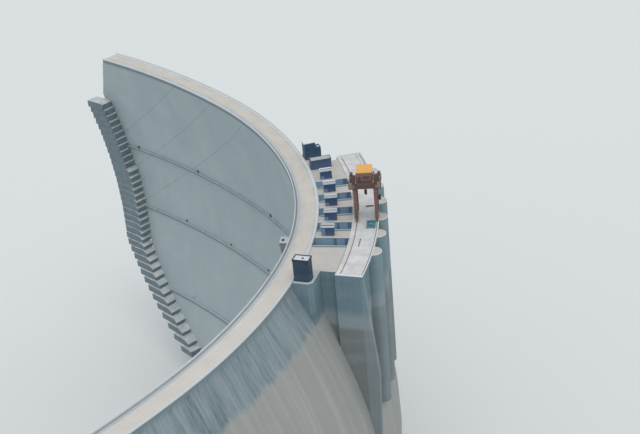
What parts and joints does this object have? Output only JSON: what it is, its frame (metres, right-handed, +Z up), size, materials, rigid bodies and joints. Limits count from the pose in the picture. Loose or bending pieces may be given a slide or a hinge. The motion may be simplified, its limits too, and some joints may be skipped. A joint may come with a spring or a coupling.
{
  "type": "hydroelectric arch dam, 1:20 scale model",
  "caption": "Double-curvature concrete arch dam with a crest road, a spillway with round-nosed piers, lift towers, galleries, abutment steps and a travelling gantry crane on its own deck.",
  "frame": {"origin": "under the middle of the whole outline, at the level of the riverbed that the dam stands on", "axes": "+X across the valley along the crest's chord, -Y upstream, +Y downstream, +Z up"},
  "size_m": [37.357, 13.4588, 16.2595],
  "materials": {
    "dam_concrete": "weathered concrete",
    "road_concrete": "pale paving",
    "parapet_concrete": "pale concrete",
    "gallery_concrete": "concrete",
    "step_concrete": "rough concrete",
    "house_cladding": "satin",
    "tower_cladding": "satin",
    "rail_steel": "worn",
    "hook_steel": "oiled",
    "crane_paint": "weathered red-brown"
  },
  "bodies": {
    "dam": {"crown_block_1": "dam_concrete", "crown_block_2": "dam_concrete", "crown_block_3": "dam_concrete", "crown_block_4": "dam_concrete", "crown_block_5": "dam_concrete", "crown_block_6": "dam_concrete", "left_block_1": "dam_concrete", "left_block_2": "dam_concrete", "left_block_3": "dam_concrete", "left_block_4": "dam_concrete", "left_block_5": "dam_concrete", "left_block_6": "dam_concrete", "left_block_7": "dam_concrete", "right_block_1": "dam_concrete", "right_block_2": "dam_concrete", "right_block_3": "dam_concrete", "right_block_4": "dam_concrete", "right_block_5": "dam_concrete", "right_block_6": "dam_concrete", "right_block_7": "dam_concrete", "crest_road": "road_concrete", "upstream_parapet": "parapet_concrete", "downstream_parapet": "parapet_concrete", "spillway_piers": "dam_concrete", "left_end_block": "dam_concrete", "right_end_block": "dam_concrete", "crane_deck": "road_concrete", "crane_rails": "rail_steel", "gate_houses": "house_cladding", "control_house": "house_cladding", "lift_shafts": "dam_concrete", "left_lift_tower": "tower_cladding", "right_lift_tower": "tower_cladding", "upper_gallery": "gallery_concrete", "middle_gallery": "gallery_concrete", "lower_gallery": "gallery_concrete", "left_steps": "step_concrete", "right_steps": "step_concrete", "crest_platform": "road_concrete"},
    "crane": {"crane_bogies": "crane_paint", "crane_portal": "crane_paint"},
    "trolley": {"crane_trolley": "crane_paint"},
    "hook": {"crane_hook": "hook_steel", "crane_ropes": "hook_steel"}
  },
  "joints": [
    {"name": "crane_travel", "type": "hinge", "parent": "dam", "child": "crane", "pos_m": [0, 9.82054, 14.5], "axis": [0, 0, 1], "range_deg": [-11.5, 15.3]},
    {"name": "trolley_travel", "type": "slide", "parent": "crane", "child": "trolley", "axis": [0.0337, 0.9994, 0], "range_m": [-0.15, 0.15]},
    {"name": "hook_hoist", "type": "slide", "parent": "trolley", "child": "hook", "axis": [0, 0, -1], "range_m": [-0.25, 0.75], "deforming": ["crane_ropes"]}
  ]
}
